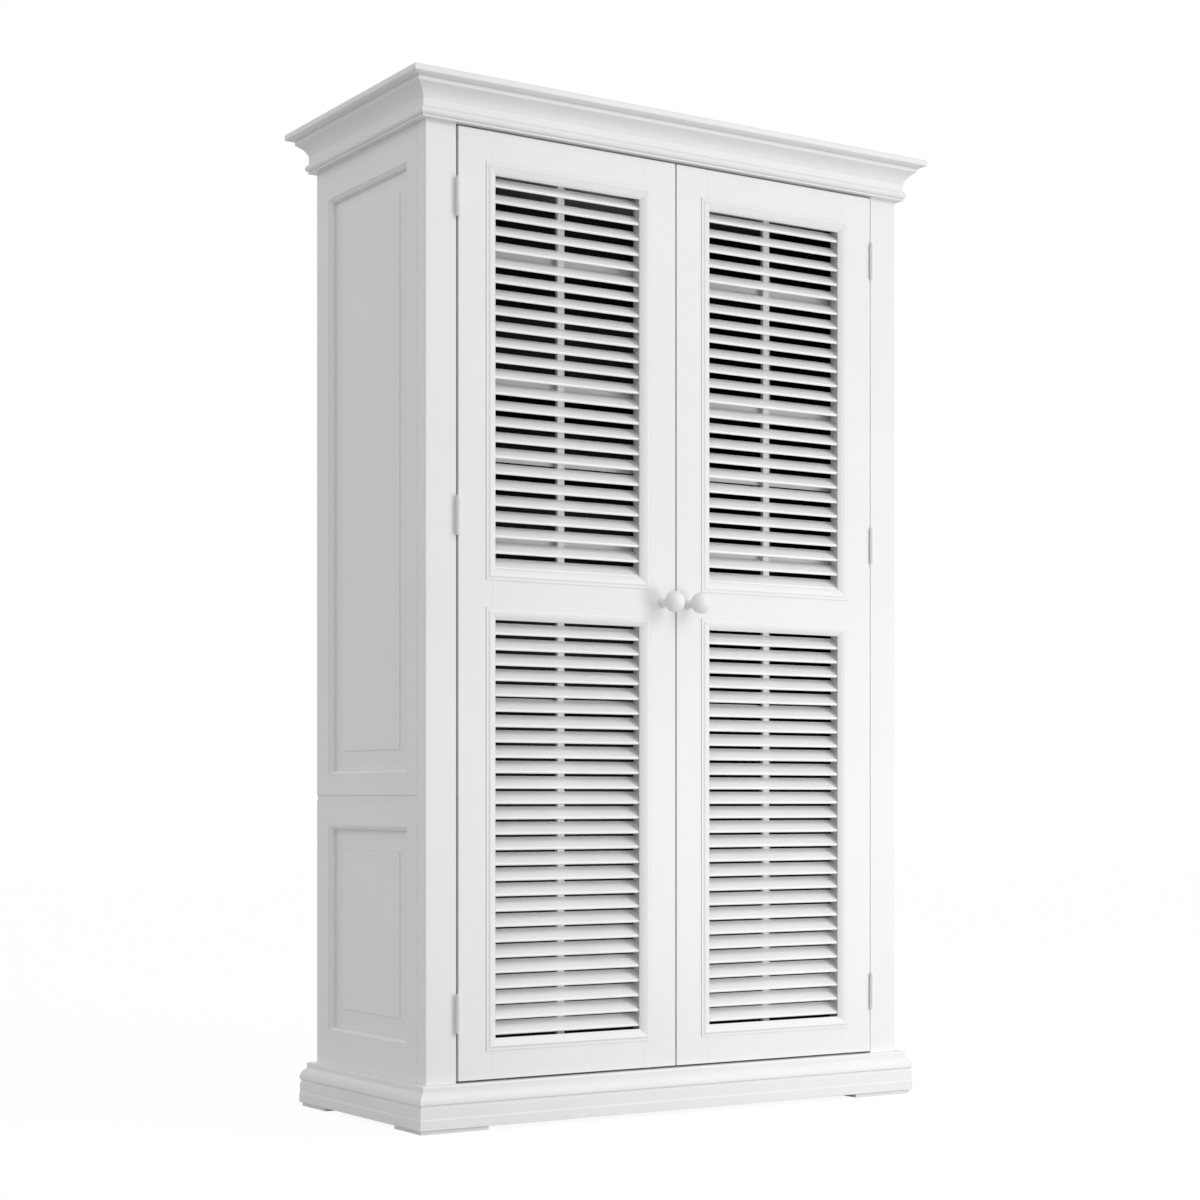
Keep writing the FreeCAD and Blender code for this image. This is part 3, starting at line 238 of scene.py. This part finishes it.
def enamel_with_painted_shade(name, along, inside):
    """White enamel with near-black painted shade between two bounds, for the dark inside the
    cupboard.

    inside is (axis, low, high): a face is painted near-black between the two bounds, which
    are distances from the middle plane for axis 0 and places along Y for axis 1.
    """
    material = eggshell_paint(name, along)
    tree = material.node_tree
    place = first_node(tree, "TEX_COORD").outputs["Object"]
    shader = first_node(tree, "BSDF_PRINCIPLED")
    white = shader.inputs["Base Color"].links[0].from_socket
    # the near-black painted shade is mottled like an open-pored stain, darker in the pores:
    # about 0.5 by 20 mm, drawn 0.8 mm wide
    mottle_scale = add_node(tree, "ShaderNodeMapping",
                     {"Scale": along_board(along, 0.8 * MM, 20 * MM)},
                     {"Vector": place})
    shade_mottle = add_node(tree, "ShaderNodeTexNoise", {"Scale": 1.0, "Detail": 3.0},
                     {"Vector": mottle_scale.outputs["Vector"]})
    painted_inside_shade = add_node(tree, "ShaderNodeValToRGB",
                     {"stops": [(0.35, from_hex("#0d0d0d")), (0.65, from_hex("#181817"))]},
                     {"Fac": shade_mottle.outputs["Fac"]})
    axis, low, high = inside
    where = add_node(tree, "ShaderNodeSeparateXYZ", None, {0: place})
    from_middle = add_node(tree, "ShaderNodeMath", {"operation": "ABSOLUTE"},
                           {0: where.outputs[0]})
    position = where.outputs[1] if axis else from_middle.outputs[0]
    above = add_node(tree, "ShaderNodeMath", {"operation": "GREATER_THAN", 1: low},
                     {0: position})
    below = add_node(tree, "ShaderNodeMath", {"operation": "LESS_THAN", 1: high},
                     {0: position})
    both = add_node(tree, "ShaderNodeMath", {"operation": "MULTIPLY"},
                    {0: above.outputs[0], 1: below.outputs[0]})
    # painted shade: near-black takes the place of the white on the faces inside the cupboard
    mixed = add_node(tree, "ShaderNodeMix", {"data_type": "RGBA"},
                     {0: both.outputs[0], 6: white, 7: painted_inside_shade.outputs["Color"]})
    fill_node(tree, shader, None, {"Base Color": mixed.outputs[2]})
    return material


PAINT = {axis: eggshell_paint("eggshell_enamel_%s" % word, axis)
         for axis, word in enumerate(("across", "deep", "upright"))}
# painted light: the slats get a whiter paint than the frames around them, which stands in for
# the brighter light on their faces
SLATS_WITH_PAINTED_LIGHT = eggshell_paint("eggshell_enamel_slats", 0, "#fdfdfc", "#f8f8f7")
STEEL = enamelled_steel("enamelled_steel")
ZINC = zinc_plated_steel("zinc_plated_steel")
ABS = moulded_abs("moulded_abs")


def grain_axis(node_name):
    """The longest way of a node's box, which its timber follows; knobs lie along Y."""
    low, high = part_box(node_name)
    spans = [h - l for l, h in zip(low, high)]
    if node_name.endswith("_knob"):
        return 1
    return spans.index(max(spans))


# the faces inside the cupboard, painted near-black as painted shade for the dark inside:
# the back panel's front, the shelves but for their front edges, and the inner faces
# of the side frames and their panels. The side's bound also takes in the 4 mm of each
# back stile's inner face that stand out behind the back panel
back_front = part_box("back_panel")[0].y
shelf_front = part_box("shelves")[0].y
side_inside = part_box("side_waist_rail_right")[0].x
panel_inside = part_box("side_upper_panel_right")[0].x
PAINTED_SHADE_INSIDE = {
    "back": enamel_with_painted_shade("enamel_and_painted_shade_back", 2, (1, 0.0, back_front + FACE_MARGIN)),
    "shelf": enamel_with_painted_shade("enamel_and_painted_shade_shelf", 0, (1, shelf_front + FACE_MARGIN, 1.0)),
    "side": enamel_with_painted_shade("enamel_and_painted_shade_side", 2, (0, 0.0, side_inside + SIDE_MARGIN)),
    "panel": enamel_with_painted_shade("enamel_and_painted_shade_panel", 2, (0, 0.0, panel_inside + SIDE_MARGIN)),
}


def finish_of(node_name):
    """The material of a node, from the piece it is."""
    # the pieces inside the cupboard get near-black painted shade on their inner faces
    if node_name == "back_panel":
        return PAINTED_SHADE_INSIDE["back"]
    if node_name == "shelves":
        return PAINTED_SHADE_INSIDE["shelf"]
    if "_panel_" in node_name:
        return PAINTED_SHADE_INSIDE["panel"]
    if node_name.startswith("side_") and not node_name.endswith("mouldings"):
        return PAINTED_SHADE_INSIDE["side"]
    if node_name == "magnetic_catches":
        return ABS
    if node_name.endswith("_strike") or node_name == "shelf_pins":
        return ZINC
    if "hinge" in node_name:
        return STEEL
    # the slats take the whiter paint, painted light
    if node_name.endswith("_slats"):
        return SLATS_WITH_PAINTED_LIGHT
    return PAINT[grain_axis(node_name)]


for node_name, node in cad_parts.items():
    node.data.materials.clear()
    node.data.materials.append(finish_of(node_name))


# -------------------------------------------------------- floor and lights

def seen_directly(tree):
    """1 for what the camera, a gloss or a clear body sees, 0 for what lights."""
    rays = add_node(tree, "ShaderNodeLightPath")
    most = add_node(tree, "ShaderNodeMath", {"operation": "MAXIMUM"},
                    {0: rays.outputs["Is Camera Ray"], 1: rays.outputs["Is Glossy Ray"]})
    either = add_node(tree, "ShaderNodeMath", {"operation": "MAXIMUM"},
                      {0: most.outputs[0], 1: rays.outputs["Is Transmission Ray"]})
    return either.outputs[0]


def studio_white(name):
    """Matt seamless paper: lit as it is, but seen white by the camera and in gloss."""
    material, tree, place, shader = new_material(name)
    fibre = add_node(tree, "ShaderNodeTexNoise", {"Scale": 1 / (3 * MM)}, {"Vector": place})
    colour = add_node(tree, "ShaderNodeValToRGB",
                      {"stops": [(0.3, from_hex("#b6b6b6")), (0.7, from_hex("#bababa"))]},
                      {"Fac": fibre.outputs["Fac"]})
    fill_node(tree, shader, {"Roughness": 0.9}, {"Base Color": colour.outputs["Color"]})
    glow = add_node(tree, "ShaderNodeEmission", {"Strength": PAPER_GLOW})
    share = add_node(tree, "ShaderNodeMath", {"operation": "MULTIPLY", 1: PAPER_SHARE},
                     {0: seen_directly(tree)})
    mixed = add_node(tree, "ShaderNodeMixShader", None, {
        0: share.outputs[0], 1: shader.outputs["BSDF"], 2: glow.outputs["Emission"]})
    fill_node(tree, first_node(tree, "OUTPUT_MATERIAL"), None,
              {"Surface": mixed.outputs[0]})
    return material


bpy.ops.object.select_all(action="DESELECT")
bpy.ops.mesh.primitive_plane_add(size=FLOOR_SIZE, location=(0, 0, -FLOOR_DROP))
floor = bpy.context.object
floor.name = "studio_floor"
floor.data.materials.append(studio_white("seamless_paper"))

world = bpy.data.worlds.new("studio")
bpy.context.scene.world = world
world.use_nodes = True
sky = world.node_tree
sky.nodes.clear()
room = add_node(sky, "ShaderNodeBackground",
                {"Color": from_hex("#ffffff"), "Strength": ROOM_LIGHT})
paper = add_node(sky, "ShaderNodeBackground",
                 {"Color": from_hex("#ffffff"), "Strength": 1.0})
mixed_sky = add_node(sky, "ShaderNodeMixShader", None, {
    0: seen_directly(sky), 1: room.outputs[0], 2: paper.outputs[0]})
add_node(sky, "ShaderNodeOutputWorld", None, {"Surface": mixed_sky.outputs[0]})


def soft_box(name, place, aim, width, height, watts):
    """A rectangular soft box that looks at a point."""
    light = bpy.data.lights.new(name, "AREA")
    light.shape = "RECTANGLE"
    light.size, light.size_y, light.energy = width, height, watts
    lamp = bpy.data.objects.new(name, light)
    bpy.context.scene.collection.objects.link(lamp)
    lamp.location = place
    lamp.rotation_euler = (Vector(aim) - Vector(place)).to_track_quat("-Z", "Y").to_euler()


for lamp_values in LAMPS:
    soft_box(*lamp_values)


# ------------------------------------------------------------------- camera

# a level camera, turned to see the left side
front_left = Vector((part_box("corner_post_left")[0].x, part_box("corner_post_left")[0].y, 0))
lens = bpy.data.cameras.new("camera")
lens.lens, lens.sensor_width, lens.sensor_fit = FOCAL_LENGTH, SENSOR_WIDTH, "HORIZONTAL"
lens.shift_y = FRAME_RAISE
lens.clip_start, lens.clip_end = CLIP_START, CLIP_END
camera = bpy.data.objects.new("camera", lens)
bpy.context.scene.collection.objects.link(camera)
camera.location = front_left + Vector(CAMERA_FROM_POST)
camera.rotation_euler = (math.radians(90), 0, -math.radians(CAMERA_TURN))
bpy.context.scene.camera = camera
bpy.context.scene.view_settings.view_transform = "Standard"
